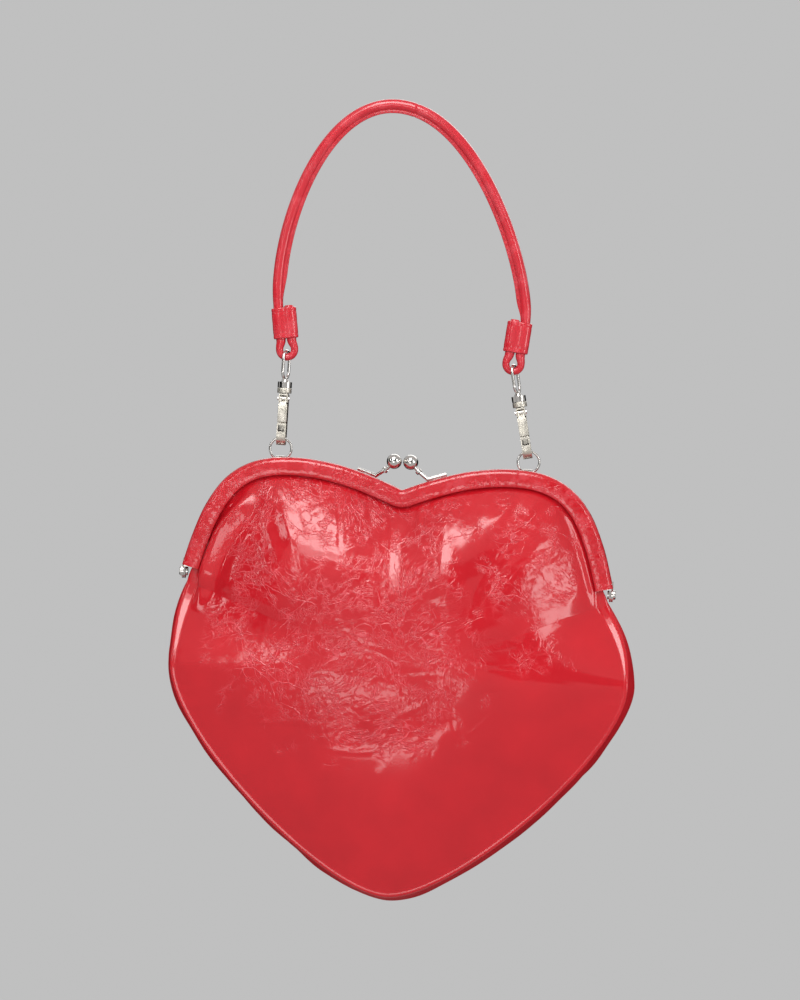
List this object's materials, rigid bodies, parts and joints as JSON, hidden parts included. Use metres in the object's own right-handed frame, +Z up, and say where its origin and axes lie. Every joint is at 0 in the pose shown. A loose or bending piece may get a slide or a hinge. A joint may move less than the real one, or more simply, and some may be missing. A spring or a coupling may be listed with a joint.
{
  "type": "heart shaped frame purse",
  "caption": "Heart shaped leather frame purse with a kiss-lock clasp, gusseted pouch and an arched rolled handle clipped by swivel snap hooks to rings on the frame",
  "frame": {"origin": "centre of the rolled handle over the middle of the bag, where a hand or a wall hook holds it", "axes": "+Z up along the hanging purse, +X to the right seen from the front, front panel faces -Y"},
  "size_m": [0.242, 0.065, 0.4147],
  "materials": {
    "red_leather": "glossy crinkled red leather",
    "handle_leather": "glossy smooth red leather",
    "bright_metal": "polished nickel-coloured plating",
    "frame_steel": "plated sheet steel",
    "spring_steel": "plain spring steel",
    "paper_cord": "twisted paper cord",
    "lining": "woven lining cloth"
  },
  "bodies": {
    "handle": {"handle_cord": "handle_leather", "left_handle_loop": "handle_leather", "right_handle_loop": "handle_leather", "left_keeper": "handle_leather", "right_keeper": "handle_leather"},
    "left_hook": {"left_hook": "bright_metal", "left_gate_pin": "bright_metal", "left_gate_spring": "spring_steel"},
    "left_eye": {"left_swivel_eye": "bright_metal"},
    "left_gate": {"left_gate": "bright_metal"},
    "left_ring": {"left_ring": "bright_metal"},
    "right_hook": {"right_hook": "bright_metal", "right_gate_pin": "bright_metal", "right_gate_spring": "spring_steel"},
    "right_eye": {"right_swivel_eye": "bright_metal"},
    "right_gate": {"right_gate": "bright_metal"},
    "right_ring": {"right_ring": "bright_metal"},
    "bag": {"left_ring_lug": "bright_metal", "right_ring_lug": "bright_metal", "back_channel": "frame_steel", "back_cover": "red_leather", "back_paper_cord": "paper_cord", "hinge_rivets": "bright_metal", "back_clasp_arm": "bright_metal", "back_clasp_ball": "bright_metal", "front_panel": "red_leather", "front_fold": "red_leather", "back_panel": "red_leather", "gusset": "red_leather", "front_lining": "lining", "back_lining": "lining", "gusset_lining": "lining"},
    "front_frame": {"front_channel": "frame_steel", "front_cover": "red_leather", "front_paper_cord": "paper_cord", "front_clasp_arm": "bright_metal", "front_clasp_ball": "bright_metal"}
  },
  "joints": [
    {"name": "left_hook_swing", "type": "hinge", "parent": "handle", "child": "left_hook", "pos_m": [-0.06408, 0, -0.1309], "axis": [1, 0, -0.0087], "range_deg": [-35, 35]},
    {"name": "right_hook_swing", "type": "hinge", "parent": "handle", "child": "right_hook", "pos_m": [0.0546, 0, -0.13194], "axis": [1, 0, -0.0087], "range_deg": [-35, 35]},
    {"name": "left_eye_spin", "type": "hinge", "parent": "left_hook", "child": "left_eye", "pos_m": [-0.06445, 0, -0.1729], "axis": [0.0087, 0, 1], "range_deg": [-4, 40]},
    {"name": "right_eye_spin", "type": "hinge", "parent": "right_hook", "child": "right_eye", "pos_m": [0.06334, 0, -0.17302], "axis": [-0.2079, 0, 0.9781], "range_deg": [-4, 40]},
    {"name": "left_gate_press", "type": "hinge", "parent": "left_hook", "child": "left_gate", "pos_m": [-0.06427, -0.0032, -0.1526], "axis": [1, 0, -0.0087], "range_deg": [0, 12], "stiffness_Nm_per_rad": 0.02},
    {"name": "right_gate_press", "type": "hinge", "parent": "right_hook", "child": "right_gate", "pos_m": [0.05912, -0.0032, -0.15317], "axis": [0.9781, 0, 0.2079], "range_deg": [0, 12], "stiffness_Nm_per_rad": 0.02},
    {"name": "left_ring_swing", "type": "hinge", "parent": "left_hook", "child": "left_ring", "pos_m": [-0.06445, 0, -0.1729], "axis": [1, 0, 0], "range_deg": [-35, 35]},
    {"name": "right_ring_swing", "type": "hinge", "parent": "right_hook", "child": "right_ring", "pos_m": [0.06334, 0, -0.17302], "axis": [1, 0, 0], "range_deg": [-55, 55]},
    {"name": "bag_swing", "type": "hinge", "parent": "left_ring", "child": "bag", "pos_m": [-0.0645, 0, -0.1841], "axis": [1, 0, 0], "range_deg": [-35, 35]},
    {"name": "frame_hinge", "type": "hinge", "parent": "bag", "child": "front_frame", "pos_m": [0, -0.0026, -0.2448], "axis": [1, 0, 0], "range_deg": [0, 60], "deforming": ["front_fold"]}
  ],
  "couplings": [
    {"joint": "right_hook_swing", "follows": "left_hook_swing", "ratio": 1},
    {"joint": "right_ring_swing", "follows": "left_ring_swing", "ratio": 1}
  ]
}
